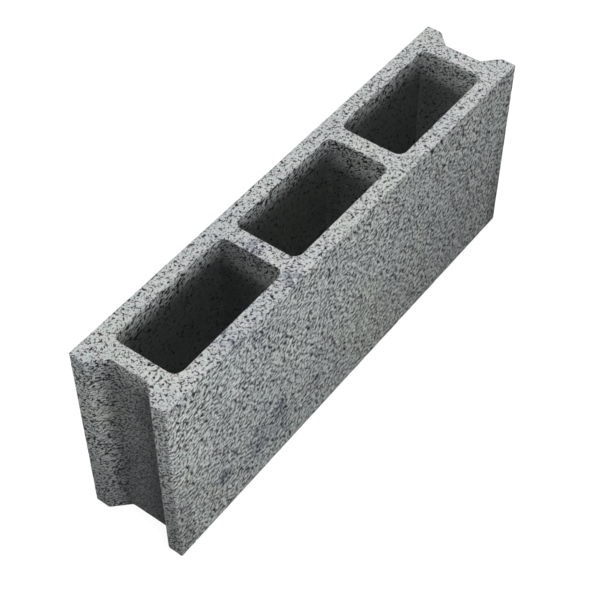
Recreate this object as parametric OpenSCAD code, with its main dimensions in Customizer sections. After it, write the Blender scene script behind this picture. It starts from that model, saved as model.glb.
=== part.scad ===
// Hollow concrete masonry block, cast in one piece: a row of tapered through cores
// between two face shells, with a keyed mortar groove down each end.
// The length runs along X, the thickness along Y and the height along Z.
// The origin is the middle of the bottom bed face.

/* [Block] */
// Length over the horns at both ends
block_length = 500; // [400:1:600]
// Height between the two bed faces
block_height = 200; // [90:1:250]
// Thickness over the two long faces
block_thickness = 97; // [85:1:200]
// Radius of the four upright outer corners
corner_radius = 1.5; // [0.5:0.25:4]

/* [Cores] */
// Number of cores in a row along the length
core_count = 3; // [2:1:4]
// Thickness of each face shell, at the top bed face
shell_thickness = 16; // [12:0.5:28]
// Thickness of each web between two cores, at the top bed face
web_thickness = 17; // [12:0.5:40]
// Thickness of each end web, from core to groove floor, at the top bed face
end_web_thickness = 17; // [12:0.5:40]
// Radius of the upright corners of a core, at the top bed face
core_corner_radius = 8; // [5:0.5:16]
// How far each core wall leans inwards from the top bed face to the bottom one
core_draft = 2; // [0:0.25:4]

/* [End grooves] */
// Depth of the groove below the ends of the horns
groove_depth = 15; // [8:0.5:25]
// Width of the flat end of each horn
horn_width = 15; // [10:0.5:24]
// Run of each slanting flank across the thickness
flank_run = 15; // [6:0.5:20]
// Radius of the lip between a horn's end and its flank
lip_radius = 5; // [1:0.5:8]
// Radius of the fillet between a flank and the groove's floor
root_radius = 4; // [1:0.5:8]

/* [Hidden] */
$fn = 96;
concrete_colour = [0.68, 0.68, 0.66];
// How far a cut runs past the face that it opens
cut_overrun = 1;

half_length = block_length / 2;
half_thickness = block_thickness / 2;
horn_y = half_thickness - horn_width;
floor_y = horn_y - flank_run;
floor_x = half_length - groove_depth;

core_row_length = 2 * (floor_x - end_web_thickness);
core_pitch = (core_row_length + web_thickness) / core_count;
core_length = core_pitch - web_thickness;
core_width = block_thickness - 2 * shell_thickness;

// One end of the outline from its front corner to its back one, as [x, y, corner radius]
end_corners = [
    [half_length, -half_thickness, corner_radius],
    [half_length, -horn_y, lip_radius],
    [floor_x, -floor_y, root_radius],
    [floor_x, floor_y, root_radius],
    [half_length, horn_y, lip_radius],
    [half_length, half_thickness, corner_radius],
];

// The whole outline, anticlockwise: the second end is the first one turned half a turn
outline_corners = concat(end_corners, [for (c = end_corners) [-c.x, -c.y, c.z]]);

function flat(corner) = [corner.x, corner.y];
function unit(v) = v / norm(v);
function left_of(v) = [-v.y, v.x];

// Draws a closed outline of [x, y, radius] corners with a true arc at each corner.
// A chord cuts every corner between its tangent points. A circle then fills out each
// corner that points outwards and hollows out each one that points inwards.
module rounded_outline(corners) {
    count = len(corners);
    points = [for (c = corners) flat(c)];
    headings = [for (i = [0:count - 1]) unit(points[(i + 1) % count] - points[i])];
    turns = [
        for (i = [0:count - 1])
            let (before = headings[(i + count - 1) % count], after = headings[i])
                atan2(cross(before, after), before * after)
    ];
    reaches = [for (i = [0:count - 1]) corners[i].z * tan(abs(turns[i]) / 2)];
    starts = [
        for (i = [0:count - 1]) points[i] - reaches[i] * headings[(i + count - 1) % count]
    ];
    ends = [for (i = [0:count - 1]) points[i] + reaches[i] * headings[i]];
    centres = [
        for (i = [0:count - 1]) ends[i] + sign(turns[i]) * corners[i].z * left_of(headings[i])
    ];
    difference() {
        union() {
            polygon([for (i = [0:count - 1], p = [starts[i], ends[i]]) p]);
            for (i = [0:count - 1])
                if (turns[i] > 0) translate(centres[i]) circle(r = corners[i].z);
        }
        for (i = [0:count - 1])
            if (turns[i] < 0) translate(centres[i]) circle(r = corners[i].z);
    }
}

// How far a core's wall has leant in at height z
function lean(z) = core_draft * (block_height - z) / block_height;

// A slab that is as wide as a core is at each height, standing in the XZ plane
module tapered_slab(top_width, depth) {
    low = -cut_overrun;
    high = block_height + cut_overrun;
    low_half = top_width / 2 - lean(low);
    high_half = top_width / 2 - lean(high);
    rotate([90, 0, 0])
        linear_extrude(depth, center = true)
            polygon([[-low_half, low], [low_half, low], [high_half, high], [-high_half, high]]);
}

// The space of one core: two crossing tapered slabs, and a tapered round in each corner
module core() {
    corner_x = core_length / 2 - core_corner_radius;
    corner_y = core_width / 2 - core_corner_radius;
    tapered_slab(core_length, 2 * corner_y);
    rotate(90) tapered_slab(core_width, 2 * corner_x);
    for (x = [-corner_x, corner_x], y = [-corner_y, corner_y])
        translate([x, y, -cut_overrun])
            cylinder(
                h = block_height + 2 * cut_overrun,
                r1 = core_corner_radius - lean(-cut_overrun),
                r2 = core_corner_radius - lean(block_height + cut_overrun)
            );
}

// The cast block: the keyed outline carried up to full height, with its cores drawn out
module block() {
    color(concrete_colour)
        difference() {
            linear_extrude(block_height) rounded_outline(outline_corners);
            for (i = [0:core_count - 1])
                translate([(i - (core_count - 1) / 2) * core_pitch, 0, 0]) core();
        }
}

block();
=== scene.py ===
"""Looks of a hollow concrete block: worn edges and open pores in its surface, and a concrete finish with
painted shade and light.
"""
import math

import bmesh
import bpy
import numpy as np
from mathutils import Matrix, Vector
from mathutils.bvhtree import BVHTree

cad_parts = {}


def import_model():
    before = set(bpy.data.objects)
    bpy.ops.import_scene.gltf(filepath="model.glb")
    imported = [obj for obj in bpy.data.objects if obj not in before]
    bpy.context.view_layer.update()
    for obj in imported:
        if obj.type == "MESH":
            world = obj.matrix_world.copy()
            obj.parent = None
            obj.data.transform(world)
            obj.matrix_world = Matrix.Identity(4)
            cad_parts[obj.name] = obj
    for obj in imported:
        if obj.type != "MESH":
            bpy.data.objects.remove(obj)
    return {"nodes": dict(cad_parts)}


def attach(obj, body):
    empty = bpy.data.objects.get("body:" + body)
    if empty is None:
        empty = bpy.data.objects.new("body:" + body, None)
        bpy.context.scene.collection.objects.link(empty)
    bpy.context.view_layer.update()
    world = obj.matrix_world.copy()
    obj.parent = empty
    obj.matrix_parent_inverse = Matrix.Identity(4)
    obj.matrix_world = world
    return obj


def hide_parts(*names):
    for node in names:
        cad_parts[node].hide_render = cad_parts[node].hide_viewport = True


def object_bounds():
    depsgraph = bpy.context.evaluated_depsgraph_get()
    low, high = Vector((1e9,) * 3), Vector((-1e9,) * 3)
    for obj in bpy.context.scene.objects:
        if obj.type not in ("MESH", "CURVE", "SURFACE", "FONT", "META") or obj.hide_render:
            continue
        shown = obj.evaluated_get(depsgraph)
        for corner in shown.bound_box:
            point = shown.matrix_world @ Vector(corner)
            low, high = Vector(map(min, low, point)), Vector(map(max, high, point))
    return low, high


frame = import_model()
cad_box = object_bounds()

MM = 0.001
HALF_LENGTH, HALF_THICKNESS, HEIGHT = cad_box[1]

# Grooves in the ends, cores and half a face shell, as the CAD has them
GROOVE_DEPTH = 15 * MM
GROOVE_HALF_WIDTH = 33.5 * MM
CORE_COUNT = 3
CORE_PITCH = 151 * MM
HALF_WALL = 8 * MM

# Relief of the surface
RELIEF_GRID = 0.9 * MM
WELD_DISTANCE = 0.01 * MM
MAX_TRIANGLES = 194_000
SHARP_ANGLE = 38
WEAR_STEPS = 1
WEAR_PATCH = 9 * MM
VOID_SPACING = 8.5 * MM
VOID_DEPTH = 2.0 * MM
VOID_SHAKE_SIZE = 3.0 * MM
VOID_SHAKE_REACH = 2.2 * MM
SWELL_SIZE = 11 * MM
SWELL_DEPTH = 0.15 * MM

# Grain of the bed faces: a fine crackle, wider pits where coarser grains meet, and a few larger holes
CRACKLE_SIZE = 1.65 * MM
PIT_SIZE = 2.2 * MM
HOLE_SIZE = 3.1 * MM

# Grain of the walls: short dark strokes that lie aslant, one way on long walls and another on walls across
STROKE_LENGTH = 3.0 * MM
STROKE_WIDTH = 1.6 * MM
STROKE_DEPTH = 4.5 * MM
STROKE_SHAKE_SIZE = 2.4 * MM
STROKE_SHAKE_REACH = 0.8 * MM
STROKE_LEVEL = 0.43
LONG_WALL_SLANT = 18
END_WALL_SLANT = 38
END_WALL_FINENESS = 1.4

# Bold strokes come in patches, and they and the cracks between grains are counted in strokes
GASH_PATCH = 24 * MM
GASH_SCALES = (0.78, 0.70, 0.75)
CRACK_SPACING = 1.6

# Patches of tone and stain, and the sand in the cement
TONE_PATCH = 50 * MM
LIME_PATCH = 85 * MM
LIME_SHIFT = (0.3, 0.1, 0.2)
STAIN_PATCH = 70 * MM
STAIN_BREAK = 9 * MM
SAND_SIZE = 1.0 * MM
BUMP_DEPTH = 0.6 * MM

# Finish: how much it shines, and the range of its roughness
SHINE = 0.25
ROUGHNESS = (0.82, 0.95)

# How strongly blotches, the grains' own colours and thin gaps show, from 0 to 1
BLOTCH_STRENGTH = 0.65
GRAIN_STRENGTH = 0.04
DASH_STRENGTH = 0.85
THIN_GAP_STRENGTH = 0.95

# Painted shade and light: how far each reaches, and how near to a groove, horn or bed face a place counts
# as on it
GROOVE_MARGIN = 2 * MM
HORN_MARGIN = 1.5 * MM
BED_MARGIN = 1 * MM
GROOVE_PAINTED_SHADE_FADE = 30 * MM
GROOVE_PAINTED_SHADE_SIDES = (-20 * MM, 8 * MM)
CORE_SHADE_DEPTH = 45 * MM
WEB_SHADE_REACH = 32 * MM

# Share of the groove's colour that painted shade takes, from its lips to its floor, and factors on it
GROOVE_PAINTED_SHADE = (0.07, 0.585)
GROOVE_PAINTED_SHADE_AT_TOP = 0.25
GROOVE_PAINTED_SHADE_ACROSS = (1.4, 0.9)

# Tones, as factors on the colour. Where there are two, the colour fades from one to the other. The first
# eight, for horns, feet, cores, webs and beds, are painted shade and light; the grain, sand and ground
# tones are the concrete's own.
HORN_PAINTED_SHADE = 0.92
FOOT_PAINTED_SHADES = (0.84, 0.71)
END_FOOT_PAINTED_SHADE = 0.68
CORE_PAINTED_SHADE = 0.5
WEB_PAINTED_LIGHT_ALONG = (0.55, 1.15)
WEB_PAINTED_LIGHT_ACROSS = (1.15, 0.7)
WEB_PAINTED_LIGHT_INSIDE = 2.0
BED_PAINTED_SHADES = (0.91, 0.975)
GRAIN_TONES = (0.93, 1.04)
SAND_TONES = (0.93, 1.06)
BED_GROUND_TONES = (0.95, 1.10)
WALL_GROUND_TONES = (0.94, 1.04)

# Colours, and the tints that multiply them
CEMENT_DARK = (0.455, 0.482, 0.49, 1)
CEMENT_PALE = (0.515, 0.535, 0.527, 1)
LIME_COLOUR = (0.525, 0.55, 0.485, 1)
BLOTCH_COLOUR = (0.235, 0.255, 0.35, 1)
THIN_GAP_COLOUR = (0.022, 0.023, 0.027, 1)
WIDE_GAP_COLOUR = (0.018, 0.019, 0.023, 1)
VOID_COLOUR = (0.018, 0.018, 0.02, 1)
WALL_TINT = (1.19, 1.22, 1.20, 1)
BED_TINT = (1, 1, 1, 1)

# Bluish dark blotches, as a place and a radius in millimetres. The photo hides the sides of the last two.
BLOTCHES = [
    ((-127, -48, 53), 34),
    ((-192, -48, 48), 11),
    ((-62, -48, 48), 11),
    ((-165, -42, 200), 15),
    ((-85, -44, 200), 14),
    ((-80, 5, 200), 15),
    ((118, 48, 120), 38),
    ((250, 10, 70), 24),
]

# Map for baked colours: its side on the block, the gap between parts, and the scale of core walls
MAP_SIDE = 712 * MM
MAP_GAP = 4 * MM
MAP_CORE_SCALE = 0.48

# Axes of the block that run across and up a part of that map
FACE_AXES = (0, 2)
END_AXES = (1, 2)
BED_AXES = (0, 1)

# Camera, as azimuth and elevation of the view through a point of the block
CAMERA_AIM = (-0.0304, -0.0086, 0.0999)
CAMERA_DISTANCE = 1.2445
CAMERA_AZIMUTH = -53.318
CAMERA_ELEVATION = 48.678
CAMERA_LENS_MM = 84.61

# Light
AMBIENT = 0.025
FLOOR_BOUNCE = 0.22
FLOOR_SHADOW = 0.12
FLOOR_SIZE = 12.0


class Nodes:
    """Adds nodes to a shader or a geometry tree. Both share the texture and maths nodes used here."""

    def __init__(self, tree):
        self.tree = tree

    def add(self, kind, inputs=(), **settings):
        node = self.tree.nodes.new(kind)
        for name, value in settings.items():
            setattr(node, name, value)
        for key, value in dict(inputs).items():
            self.feed(node.inputs[key], value)
        return node

    def feed(self, socket, value):
        if isinstance(value, bpy.types.NodeSocket):
            self.tree.links.new(value, socket)
        else:
            socket.default_value = value

    def math(self, operation, a, b=0.0, c=0.0):
        return self.add("ShaderNodeMath", {0: a, 1: b, 2: c}, operation=operation).outputs[0]

    def product(self, first, *others):
        total = first
        for factor in others:
            total = self.math("MULTIPLY", total, factor)
        return total

    def vector(self, operation, a, b, output="Vector"):
        node = self.add("ShaderNodeVectorMath", {0: a}, operation=operation)
        self.feed(node.inputs["Scale" if operation == "SCALE" else 1], b)
        return node.outputs[output]

    def axes(self, vector):
        return self.add("ShaderNodeSeparateXYZ", {0: vector}).outputs

    def noise(self, where, size, detail=2.0, output="Fac"):
        inputs = {"Vector": where, "Scale": 1 / size, "Detail": detail}
        return self.add("ShaderNodeTexNoise", inputs).outputs[output]

    def cells(self, where, size, feature, output="Distance"):
        inputs = {"Vector": where, "Scale": 1 / size}
        return self.add("ShaderNodeTexVoronoi", inputs, feature=feature).outputs[output]

    def ramp(self, value, low, high, to_low=0.0, to_high=1.0):
        inputs = {"Value": value, "From Min": low, "From Max": high, "To Min": to_low, "To Max": to_high}
        return self.add("ShaderNodeMapRange", inputs, interpolation_type="SMOOTHSTEP").outputs[0]

    def blend(self, factor, a, b):
        return self.add("ShaderNodeMix", {0: factor, 2: a, 3: b}).outputs[0]

    def mix(self, factor, a, b):
        node = self.add("ShaderNodeMix", data_type="RGBA", clamp_factor=True)
        for socket, value in zip((node.inputs[0], node.inputs[6], node.inputs[7]), (factor, a, b)):
            self.feed(socket, value)
        return node.outputs[2]


def crumbled(nodes, where, size, reach):
    """The place looked up, shaken a little so that grains and pits get ragged outlines."""
    shake = nodes.noise(where, size, 2.0, "Color")
    centred = nodes.vector("SUBTRACT", shake, (0.5, 0.5, 0.5))
    return nodes.vector("ADD", where, nodes.vector("SCALE", centred, 2 * reach))


def voids(nodes, where):
    """How deep a void is at a place, from 0 at the surface to 1: ragged hollows of a few millimetres."""
    shaken = crumbled(nodes, where, VOID_SHAKE_SIZE, VOID_SHAKE_REACH)
    middle = nodes.cells(shaken, VOID_SPACING, "F1")
    chance = nodes.axes(nodes.cells(shaken, VOID_SPACING, "F1", "Color"))[0]
    radius = nodes.ramp(chance, 0.5, 1.0, 0.02, 0.24)
    return nodes.ramp(nodes.math("SUBTRACT", radius, middle), 0.0, 0.16)


def joints(nodes, where, size, openness, widest, soft, widening=0.0):
    """How open the joint between two grains is, from 0 on a grain to 1 in a crack, and its rim."""
    shaken = crumbled(nodes, where, 0.7 * size, 0.5 * size)
    edge = nodes.cells(shaken, size, "DISTANCE_TO_EDGE")
    gap = nodes.ramp(nodes.noise(where, 1.15 * size, 1.0), openness, openness + 0.34, -soft, widest)
    inside = nodes.math("SUBTRACT", nodes.math("ADD", gap, widening), edge)
    return nodes.ramp(inside, -soft, soft), nodes.ramp(inside, -0.2, -soft)


def stroke_place(nodes, where, level, slant):
    """A place on a wall, counted in lengths and widths of strokes that climb along the level direction."""
    rise = math.radians(slant)
    along = Vector(level) * math.cos(rise) + Vector((0, 0, math.sin(rise)))
    across = Vector((0, 0, math.cos(rise))) - Vector(level) * math.sin(rise)
    through = along.cross(across)
    axes = (along / STROKE_LENGTH, across / STROKE_WIDTH, through / STROKE_DEPTH)
    parts = [nodes.vector("DOT_PRODUCT", where, axis, "Value") for axis in axes]
    return nodes.add("ShaderNodeCombineXYZ", dict(enumerate(parts))).outputs[0]


def strokes(nodes, where, level, soft):
    """How open a stroke is at a place, from 0 to 1, and the ground beside it."""
    height = nodes.math("SUBTRACT", nodes.noise(where, 1.0, 2.0), level)
    return nodes.ramp(height, -soft, soft, 1.0, 0.0), nodes.ramp(height, 0.0, 0.22)


def blotches(nodes, where):
    """Where the concrete is dark and bluish, from 0 to 1."""
    total = nodes.ramp(nodes.noise(where, STAIN_PATCH, 2.0), 0.66, 0.78)
    for centre, radius in BLOTCHES:
        away = nodes.vector("DISTANCE", where, Vector(centre) * MM, "Value")
        near = nodes.ramp(away, 0.4 * radius * MM, 1.1 * radius * MM, 1.0, 0.0)
        total = nodes.math("MAXIMUM", total, near)
    patchy = nodes.ramp(nodes.noise(where, STAIN_BREAK, 3.0), 0.36, 0.60)
    return nodes.product(total, patchy)


def worn_shift(nodes, place):
    """How wear moves a point: towards the middle of its neighbours, more in some patches than in others."""
    blurred = nodes.add("GeometryNodeBlurAttribute", data_type="FLOAT_VECTOR")
    nodes.feed(blurred.inputs["Value"], place)
    nodes.feed(blurred.inputs["Iterations"], WEAR_STEPS)
    rounded = nodes.vector("SUBTRACT", blurred.outputs[0], place)
    wear = nodes.ramp(nodes.noise(place, WEAR_PATCH, 3.0), 0.45, 0.75, 0.1, 1.0)
    return nodes.vector("SCALE", rounded, wear)


def sunk_shift(nodes, place):
    """How voids and the slow swell of the faces move a point inwards."""
    normal = nodes.add("GeometryNodeInputNormal").outputs[0]
    hollow = nodes.product(voids(nodes, place), VOID_DEPTH)
    swell = nodes.ramp(nodes.noise(place, SWELL_SIZE, 2.0), 0.3, 0.7, SWELL_DEPTH, 0.0)
    depth = nodes.math("ADD", hollow, swell)
    return nodes.vector("SCALE", normal, nodes.product(depth, -1.0))


def relief_tree():
    """Geometry nodes that wear the edges and sink the pores. Each point keeps its first place as rest."""
    tree = bpy.data.node_groups.new("concrete_relief", "GeometryNodeTree")
    tree.interface.new_socket("Geometry", in_out="INPUT", socket_type="NodeSocketGeometry")
    tree.interface.new_socket("Geometry", in_out="OUTPUT", socket_type="NodeSocketGeometry")
    nodes = Nodes(tree)
    source = nodes.add("NodeGroupInput")
    place = nodes.add("GeometryNodeInputPosition").outputs[0]

    kept = nodes.add("GeometryNodeStoreNamedAttribute", data_type="FLOAT_VECTOR", domain="POINT")
    nodes.feed(kept.inputs["Geometry"], source.outputs[0])
    nodes.feed(kept.inputs["Name"], "rest")
    nodes.feed(kept.inputs["Value"], place)

    moved = nodes.add("GeometryNodeSetPosition")
    nodes.feed(moved.inputs["Geometry"], kept.outputs[0])
    shift = nodes.vector("ADD", worn_shift(nodes, place), sunk_shift(nodes, place))
    nodes.feed(moved.inputs["Offset"], shift)
    nodes.feed(nodes.add("NodeGroupOutput").inputs[0], moved.outputs[0])
    return tree


def applied(piece):
    """The piece's mesh with its modifiers applied, which then leave the piece."""
    evaluated = piece.evaluated_get(bpy.context.evaluated_depsgraph_get())
    mesh = bpy.data.meshes.new_from_object(evaluated)
    piece.modifiers.clear()
    old = piece.data
    piece.data = mesh
    bpy.data.meshes.remove(old)
    return mesh


def welded_copy(node):
    """A new object with the CAD node's surface, its split corners joined."""
    mesh = bpy.data.meshes.new("block_cad")
    shape = bmesh.new()
    shape.from_mesh(node.data)
    bmesh.ops.remove_doubles(shape, verts=shape.verts, dist=WELD_DISTANCE)
    shape.to_mesh(mesh)
    shape.free()
    copy = bpy.data.objects.new("block_cad", mesh)
    bpy.context.scene.collection.objects.link(copy)
    return copy


def on_grid(cad):
    """A new piece that has the CAD surface on a fine even grid."""
    piece = bpy.data.objects.new("block_surface", cad.data.copy())
    bpy.context.scene.collection.objects.link(piece)
    grid = piece.modifiers.new("grid", "REMESH")
    grid.mode = "VOXEL"
    grid.voxel_size = RELIEF_GRID
    snap = piece.modifiers.new("snap", "SHRINKWRAP")
    snap.target = cad
    applied(piece)
    return piece


def carve(piece):
    """Gives the piece its relief, and then thins the grid where it is flat."""
    relief = piece.modifiers.new("relief", "NODES")
    relief.node_group = relief_tree()
    mesh = applied(piece)
    triangles = sum(len(p.vertices) - 2 for p in mesh.polygons)
    thin = piece.modifiers.new("thin", "DECIMATE")
    thin.ratio = min(1.0, MAX_TRIANGLES / triangles)
    thin.use_collapse_triangulate = True
    applied(piece)


def cast_surface(node):
    """The block with real voids and worn edges, marked and mapped for its material."""
    cad = welded_copy(node)
    piece = on_grid(cad)
    carve(piece)
    mesh = piece.data
    keep_in_box(mesh)
    facing = facings(mesh, cad)
    mark_faces(mesh, facing)
    lay_map(mesh, facing)
    mesh.shade_smooth()
    mesh.set_sharp_from_angle(angle=math.radians(SHARP_ANGLE))
    bpy.data.objects.remove(cad)
    return piece


def values(items, name, width=1, kind=np.float64):
    """What each item of a mesh has under a name, as an array."""
    flat = np.empty(len(items) * width, dtype=kind)
    items.foreach_get(name, flat)
    return flat.reshape(-1, width) if width > 1 else flat


def keep_in_box(mesh):
    """Moves what the grid left a few micrometres outside the CAD box back onto it."""
    points = values(mesh.vertices, "co", 3)
    inside = np.clip(points, np.array(cad_box[0]), np.array(cad_box[1]))
    mesh.vertices.foreach_set("co", inside.ravel())
    mesh.update()


def facings(mesh, cad):
    """The direction in which the CAD surface nearest to each face points."""
    tree = BVHTree.FromObject(cad, bpy.context.evaluated_depsgraph_get())
    return np.array([tree.find_nearest(p.center)[1] for p in mesh.polygons])


def mark_faces(mesh, facing):
    """Gives each face two numbers: bed is 1 on the bed faces, and end is 1 on walls across the length."""
    for name, axis, least in (("bed", 2, 0.7), ("end", 0, 0.6)):
        marks = (np.abs(facing[:, axis]) > least).astype(np.float32)
        mesh.attributes.new(name, "FLOAT", "FACE").data.foreach_set("value", marks)


def core_walls(inner, x, nx, ny):
    """The map's parts for the walls of the cores: those along the length, and those across it."""
    last = (CORE_COUNT - 1) / 2
    core = np.clip(np.round(x / CORE_PITCH), -last, last)
    lengthwise = np.abs(ny) > np.abs(nx)
    long_walls = []
    short_walls = []
    for number in np.unique(core):
        here = inner & (core == number)
        for side in (-1, 1):
            long_walls.append((here & lengthwise & (side * ny > 0), FACE_AXES, MAP_CORE_SCALE))
            short_walls.append((here & ~lengthwise & (side * nx > 0), END_AXES, MAP_CORE_SCALE))
    return long_walls, short_walls


def map_parts(centre, facing):
    """The parts of the bake map in the order they are laid out: faces, their axes on it, and a scale."""
    x, y = centre.T[:2]
    nx, ny, nz = facing.T
    bed = np.abs(nz) > 0.7
    face = ~bed & (np.abs(y) > HALF_THICKNESS - HALF_WALL) & (np.abs(ny) > 0.7)
    end = ~bed & ~face & (np.abs(x) > HALF_LENGTH - GROOVE_DEPTH - HALF_WALL)
    long_walls, short_walls = core_walls(~bed & ~face & ~end, x, nx, ny)
    return [
        (face & (y < 0), FACE_AXES, 1.0),
        (end & (x < 0), END_AXES, 1.0),
        (face & (y > 0), FACE_AXES, 1.0),
        (end & (x > 0), END_AXES, 1.0),
        (bed & (nz > 0), BED_AXES, 1.0),
        *long_walls[:2],
        short_walls[0],
        (bed & (nz < 0), BED_AXES, 1.0),
        *long_walls[2:4],
        short_walls[1],
        *long_walls[4:],
        *short_walls[2:],
    ]


def lay_map(mesh, facing):
    """Lays every wall flat in a square, in rows, so that baked colours are equally sharp on outer faces."""
    corners = values(mesh.loops, "vertex_index", kind=np.int32)
    sides = values(mesh.polygons, "loop_total", kind=np.int32)
    owner = np.repeat(np.arange(len(sides)), sides)
    places = values(mesh.vertices, "co", 3)[corners]
    uv = np.zeros((len(corners), 2))
    across, up, row = 0.0, 0.0, 0.0
    for faces, axes, scale in map_parts(values(mesh.polygons, "center", 3), facing):
        chosen = faces[owner]
        flat = places[chosen][:, axes] * scale
        low = flat.min(axis=0)
        width, height = flat.max(axis=0) - low
        if across + width > MAP_SIDE:
            across, up, row = 0.0, up + row + MAP_GAP, 0.0
        uv[chosen] = (flat - low + (across, up)) / MAP_SIDE
        across += width + MAP_GAP
        row = max(row, height)
    mesh.uv_layers.new(name="OFBake").data.foreach_set("uv", uv.ravel())


def groove_painted_shade(nodes, inset, y, z, at_end):
    """A factor on the colour of the end grooves: painted shade on their floors, stronger towards the front
    side and weaker at the top.
    """
    between = nodes.math("LESS_THAN", nodes.math("ABSOLUTE", y), GROOVE_HALF_WIDTH)
    painted_floor_shade = nodes.product(
        nodes.ramp(inset, 0.3 * GROOVE_DEPTH, GROOVE_DEPTH, *GROOVE_PAINTED_SHADE),
        nodes.ramp(z, HEIGHT - GROOVE_PAINTED_SHADE_FADE, HEIGHT, 1.0, GROOVE_PAINTED_SHADE_AT_TOP),
        nodes.ramp(y, *GROOVE_PAINTED_SHADE_SIDES, *GROOVE_PAINTED_SHADE_ACROSS),
    )
    return nodes.math("SUBTRACT", 1.0, nodes.product(painted_floor_shade, at_end, between))


def painted_shading(nodes, where):
    """Painted shade, as a factor on the colour: the end grooves and horns are darker, and the walls are
    darker towards the foot, most at the ends and the far end.
    """
    x, y, z = nodes.axes(where)
    inset = nodes.math("SUBTRACT", HALF_LENGTH, nodes.math("ABSOLUTE", x))
    at_end = nodes.math("LESS_THAN", inset, GROOVE_DEPTH + GROOVE_MARGIN)
    below_top = nodes.math("LESS_THAN", z, HEIGHT - BED_MARGIN)
    groove = groove_painted_shade(nodes, inset, y, z, nodes.product(at_end, below_top))
    on_horn = nodes.product(nodes.math("LESS_THAN", inset, HORN_MARGIN), below_top)
    horn = nodes.ramp(on_horn, 0.0, 1.0, 1.0, HORN_PAINTED_SHADE)
    deepest_foot_shade = nodes.ramp(x, -0.3 * HALF_LENGTH, HALF_LENGTH, *FOOT_PAINTED_SHADES)
    foot = nodes.ramp(z, 0.0, 0.85 * HEIGHT, deepest_foot_shade, 1.0)
    low_end = nodes.product(nodes.ramp(z, 0.0, 0.75 * HEIGHT, 1.0, 0.0), at_end)
    end_foot = nodes.ramp(low_end, 0.0, 1.0, 1.0, END_FOOT_PAINTED_SHADE)
    return nodes.product(groove, horn, foot, end_foot)


def in_core(nodes, where):
    """Is 1 inside the face shells and end webs, on core walls and inner webs, and 0 elsewhere."""
    x, y = nodes.axes(where)[:2]
    along = nodes.math("LESS_THAN", nodes.math("ABSOLUTE", x), HALF_LENGTH - GROOVE_DEPTH - HALF_WALL)
    across = nodes.math("LESS_THAN", nodes.math("ABSOLUTE", y), HALF_THICKNESS - HALF_WALL)
    return nodes.product(along, across)


def core_depth(nodes, where):
    """How far inside a core a place is, from 0 at its rims and outside to 1 where the painted shade is full
    and the walls are smooth.
    """
    z = nodes.axes(where)[2]
    from_bed = nodes.math("MINIMUM", z, nodes.math("SUBTRACT", HEIGHT, z))
    return nodes.product(nodes.ramp(from_bed, 0.0, CORE_SHADE_DEPTH), in_core(nodes, where))


def web_painted_light(nodes, where, end, inner):
    """Painted light and shade on the webs in the cores: paler to the far end and to the front, which undoes
    the cores' painted shade deep down.
    """
    x, y = nodes.axes(where)[:2]
    tone = nodes.product(
        nodes.ramp(x, -0.5 * HALF_LENGTH, HALF_LENGTH, *WEB_PAINTED_LIGHT_ALONG),
        nodes.ramp(y, -WEB_SHADE_REACH, WEB_SHADE_REACH, *WEB_PAINTED_LIGHT_ACROSS),
        nodes.ramp(inner, 0.0, 1.0, 1.0, WEB_PAINTED_LIGHT_INSIDE),
    )
    return nodes.blend(nodes.product(in_core(nodes, where), end), 1.0, tone)


def bed_painted_shade(nodes, where, bed):
    """Painted shade on the bed faces: darkest at the near end, and lighter towards the far end."""
    x = nodes.axes(where)[0]
    return nodes.blend(bed, 1.0, nodes.ramp(x, -HALF_LENGTH, HALF_LENGTH, *BED_PAINTED_SHADES))


def painted_light_and_shade(nodes, place, bed, end, inner):
    """A factor on the colour for painted shade and light: in the grooves, on the horns, towards the foot,
    deep in the cores, on the webs and on the beds.
    """
    return nodes.product(
        painted_shading(nodes, place),
        # Painted shade that deepens into the cores
        nodes.ramp(inner, 0.0, 1.0, 1.0, CORE_PAINTED_SHADE),
        web_painted_light(nodes, place, end, inner),
        bed_painted_shade(nodes, place, bed),
    )


def cement(nodes, place, blotch):
    """Grey cement, with slow patches that are darker or limy, and bluish blotches."""
    tone = nodes.noise(place, TONE_PATCH, 3.0)
    colour = nodes.mix(nodes.ramp(tone, 0.3, 0.7), CEMENT_DARK, CEMENT_PALE)
    lime = nodes.noise(nodes.vector("ADD", place, LIME_SHIFT), LIME_PATCH, 2.0)
    colour = nodes.mix(nodes.ramp(lime, 0.5, 0.75, 0.0, 0.5), colour, LIME_COLOUR)
    return nodes.mix(nodes.product(blotch, BLOTCH_STRENGTH), colour, BLOTCH_COLOUR)


def grains(nodes, place):
    """A colour of its own for each grain of the mix."""
    shaken = crumbled(nodes, place, 0.7 * CRACKLE_SIZE, 0.5 * CRACKLE_SIZE)
    return nodes.cells(shaken, CRACKLE_SIZE, "F1", "Color")


def bed_grain(nodes, place, blotch):
    """Thin gaps, wide gaps and the tone of the ground between them, on the bed faces."""
    widening = nodes.product(blotch, 0.08)
    fine = {"openness": 0.44, "widest": 0.16, "soft": 0.035}
    crackle, crackle_rim = joints(nodes, place, CRACKLE_SIZE, **fine, widening=widening)
    pits, pit_rim = joints(nodes, place, PIT_SIZE, openness=0.49, widest=0.39, soft=0.015)
    holes = joints(nodes, place, HOLE_SIZE, openness=0.56, widest=0.50, soft=0.015)[0]
    rim = nodes.math("MAXIMUM", crackle_rim, pit_rim)
    ground = nodes.ramp(rim, 0.0, 1.0, *BED_GROUND_TONES)
    return crackle, nodes.math("MAXIMUM", pits, holes), ground


def wall_place(nodes, place, end):
    """A place counted in strokes, which climb one way on long walls and the other way on walls across."""
    ragged = crumbled(nodes, place, STROKE_SHAKE_SIZE, STROKE_SHAKE_REACH)
    long_wall = stroke_place(nodes, ragged, (1, 0, 0), LONG_WALL_SLANT)
    end_wall = stroke_place(nodes, ragged, (0, -1, 0), END_WALL_SLANT)
    end_wall = nodes.vector("SCALE", end_wall, END_WALL_FINENESS)
    return nodes.add("ShaderNodeMix", {0: end, 4: long_wall, 5: end_wall}, data_type="VECTOR").outputs[1]


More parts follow.
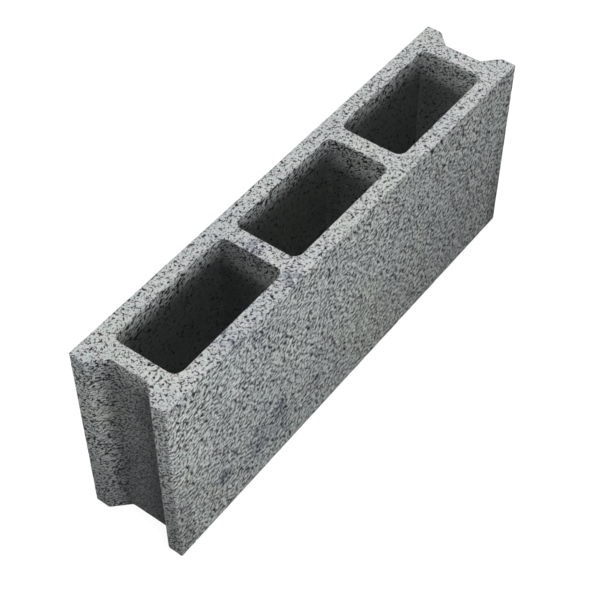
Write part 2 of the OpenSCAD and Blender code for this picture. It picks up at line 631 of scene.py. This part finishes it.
def wall_grain(nodes, place, end, blotch, inner):
    """Thin gaps, wide gaps and the tone of the ground between them, on the walls."""
    wall = wall_place(nodes, place, end)
    level = nodes.math("MULTIPLY_ADD", blotch, 0.04, STROKE_LEVEL)
    level = nodes.math("MULTIPLY_ADD", inner, -0.08, level)
    dashes, ground = strokes(nodes, wall, level, 0.015)
    bolder = nodes.ramp(nodes.noise(place, GASH_PATCH, 2.0), 0.38, 0.62, 0.0, 0.034)
    coarse = nodes.vector("MULTIPLY", wall, GASH_SCALES)
    gashes = strokes(nodes, coarse, nodes.math("ADD", level, bolder), 0.006)[0]
    cracks = joints(nodes, wall, CRACK_SPACING, openness=0.44, widest=0.12, soft=0.02)[0]
    cracks = nodes.product(cracks, nodes.ramp(inner, 0.0, 1.0, 1.0, 0.2))
    thin = nodes.product(dashes, DASH_STRENGTH)
    wide = nodes.math("MAXIMUM", gashes, cracks)
    return thin, wide, nodes.ramp(ground, 0.0, 1.0, *WALL_GROUND_TONES)


def stored(nodes, name, output="Fac"):
    """What the mesh holds under a name."""
    return nodes.add("ShaderNodeAttribute", attribute_name=name).outputs[output]


def concrete():
    """Pale cement with grains of many tones, dark gaps and voids, faint stains, and painted shade and
    light.
    """
    material = bpy.data.materials.new("concrete")
    material.use_nodes = True
    nodes = Nodes(material.node_tree)
    place = stored(nodes, "rest", "Vector")
    bed = stored(nodes, "bed")
    end = stored(nodes, "end")
    blotch = blotches(nodes, place)
    inner = core_depth(nodes, place)
    sand = nodes.noise(place, SAND_SIZE, 3.0)
    grain = grains(nodes, place)

    bed_thin, bed_wide, bed_ground = bed_grain(nodes, place, blotch)
    wall_thin, wall_wide, wall_ground = wall_grain(nodes, place, end, blotch, inner)
    thin = nodes.blend(bed, wall_thin, bed_thin)
    wide = nodes.blend(bed, wall_wide, bed_wide)
    shade = nodes.product(
        nodes.ramp(nodes.axes(grain)[2], 0.0, 1.0, *GRAIN_TONES),
        nodes.ramp(sand, 0.3, 0.7, *SAND_TONES),
        nodes.blend(bed, wall_ground, bed_ground),
        painted_light_and_shade(nodes, place, bed, end, inner),
    )

    colour = nodes.mix(GRAIN_STRENGTH, cement(nodes, place, blotch), grain)
    colour = nodes.vector("MULTIPLY", colour, nodes.mix(bed, WALL_TINT, BED_TINT))
    colour = nodes.vector("SCALE", colour, shade)
    colour = opened(nodes, colour, thin, wide, place, inner)
    dress(nodes, colour, sand, thin, wide)
    return material


def opened(nodes, colour, thin, wide, place, inner):
    """The colour with dark gaps between the grains, and with dark voids, which fade deep in the cores."""
    colour = nodes.mix(nodes.product(thin, THIN_GAP_STRENGTH), colour, THIN_GAP_COLOUR)
    colour = nodes.mix(wide, colour, WIDE_GAP_COLOUR)
    hollow = nodes.ramp(voids(nodes, place), 0.0, 0.6)
    hollow = nodes.product(hollow, nodes.ramp(inner, 0.0, 1.0, 1.0, 0.3))
    return nodes.mix(hollow, colour, VOID_COLOUR)


def dress(nodes, colour, sand, thin, wide):
    """Gives the shader its colour and a dull finish, and sinks the gaps in its bump."""
    shader = nodes.tree.nodes["Principled BSDF"]
    nodes.feed(shader.inputs["Base Color"], colour)
    nodes.feed(shader.inputs["Roughness"], nodes.ramp(sand, 0.3, 0.7, *ROUGHNESS))
    shader.inputs["Specular IOR Level"].default_value = SHINE
    sunk = nodes.math("ADD", nodes.product(thin, 0.6), wide)
    relief = nodes.math("SUBTRACT", nodes.product(sand, 0.4), sunk)
    bump = nodes.add("ShaderNodeBump", {"Height": relief, "Strength": 0.6, "Distance": BUMP_DEPTH})
    nodes.feed(shader.inputs["Normal"], bump.outputs[0])


def seen_rays(nodes):
    """Is 1 for rays that show a surface to the camera, also in a mirror or glass, and 0 for light."""
    path = nodes.add("ShaderNodeLightPath")
    mirrored = nodes.math("MAXIMUM", path.outputs["Is Glossy Ray"], path.outputs["Is Transmission Ray"])
    return nodes.math("MAXIMUM", path.outputs["Is Camera Ray"], mirrored)


def floor():
    """A white floor that keeps a light shadow. To the camera it glows, and to the block it is darker."""
    bpy.ops.mesh.primitive_plane_add(size=FLOOR_SIZE, location=(0, 0, 0))
    plane = bpy.context.object
    plane.name = "floor"
    material = bpy.data.materials.new("floor")
    material.use_nodes = True
    tree = material.node_tree
    nodes = Nodes(tree)
    seen = seen_rays(nodes)
    bounce = nodes.ramp(seen, 0.0, 1.0, FLOOR_BOUNCE, 1.0)
    diffuse = nodes.add("ShaderNodeBsdfDiffuse", {"Color": bounce})
    glow = nodes.add("ShaderNodeEmission", {"Color": (1, 1, 1, 1), "Strength": 1.0})
    share = nodes.product(seen, 1.0 - FLOOR_SHADOW)
    mixed = nodes.add("ShaderNodeMixShader", {0: share, 1: diffuse.outputs[0], 2: glow.outputs[0]})
    tree.links.new(mixed.outputs[0], tree.nodes["Material Output"].inputs[0])
    plane.data.materials.append(material)


def world():
    """Even ambient light, and a white background for the camera."""
    scene = bpy.context.scene
    scene.world = bpy.data.worlds.new("studio")
    scene.world.use_nodes = True
    tree = scene.world.node_tree
    nodes = Nodes(tree)
    strength = nodes.ramp(seen_rays(nodes), 0.0, 1.0, AMBIENT, 1.0)
    back = tree.nodes["Background"]
    back.inputs["Color"].default_value = (1, 1, 1, 1)
    nodes.feed(back.inputs["Strength"], strength)


def area_light(name, place, aim, width, height, power):
    """A soft box at a place, turned to a point of the block. Sizes are in metres, and power is in watts."""
    data = bpy.data.lights.new(name, "AREA")
    data.shape = "RECTANGLE"
    data.size = width
    data.size_y = height
    data.energy = power
    lamp = bpy.data.objects.new(name, data)
    lamp.location = place
    lamp.rotation_euler = (Vector(place) - Vector(aim)).to_track_quat("Z", "Y").to_euler()
    bpy.context.scene.collection.objects.link(lamp)


def far_light(name, azimuth, elevation, softness, level):
    """A soft far light. At level 1 it lights a face turned to it so that a colour renders as written."""
    data = bpy.data.lights.new(name, "SUN")
    data.energy = level * math.pi
    data.angle = math.radians(softness)
    lamp = bpy.data.objects.new(name, data)
    lamp.rotation_euler = towards(azimuth, elevation).to_track_quat("Z", "Y").to_euler()
    bpy.context.scene.collection.objects.link(lamp)


def lights():
    """A soft light overhead, low ones behind and at both ends, and soft boxes by the front and near end."""
    far_light("overhead", azimuth=0, elevation=89.5, softness=6, level=0.89)
    far_light("back", azimuth=180, elevation=15, softness=14, level=0.40)
    far_light("right", azimuth=90, elevation=14, softness=14, level=0.30)
    front_box = {"place": (-0.26, -0.72, 0.29), "aim": (-0.12, -0.05, 0.13)}
    area_light("front_box", **front_box, width=0.4, height=0.26, power=3.6)
    end_box = {"place": (-0.85, 0.12, 0.31), "aim": (-0.25, 0.0, 0.13)}
    area_light("end_box", **end_box, width=0.25, height=0.2, power=0.68)
    far_light("left", azimuth=-90, elevation=11, softness=8, level=0.15)


def towards(azimuth, elevation):
    """The direction from the block to a viewer or lamp at an azimuth and elevation in degrees."""
    turn = math.radians(azimuth)
    rise = math.radians(elevation)
    return Vector((math.sin(turn) * math.cos(rise), -math.cos(turn) * math.cos(rise), math.sin(rise)))


def camera():
    """The photo's view."""
    data = bpy.data.cameras.new("camera")
    data.lens = CAMERA_LENS_MM
    data.sensor_width = 36.0
    eye = bpy.data.objects.new("camera", data)
    back = towards(CAMERA_AZIMUTH, CAMERA_ELEVATION)
    eye.location = Vector(CAMERA_AIM) + back * CAMERA_DISTANCE
    eye.rotation_euler = back.to_track_quat("Z", "Y").to_euler()
    bpy.context.scene.collection.objects.link(eye)
    bpy.context.scene.camera = eye


camera()
world()
lights()
floor()
bpy.context.scene.view_settings.view_transform = "Standard"

surface = cast_surface(frame["nodes"]["block"])
surface.data.materials.clear()
surface.data.materials.append(concrete())
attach(surface, "root")
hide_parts("block")
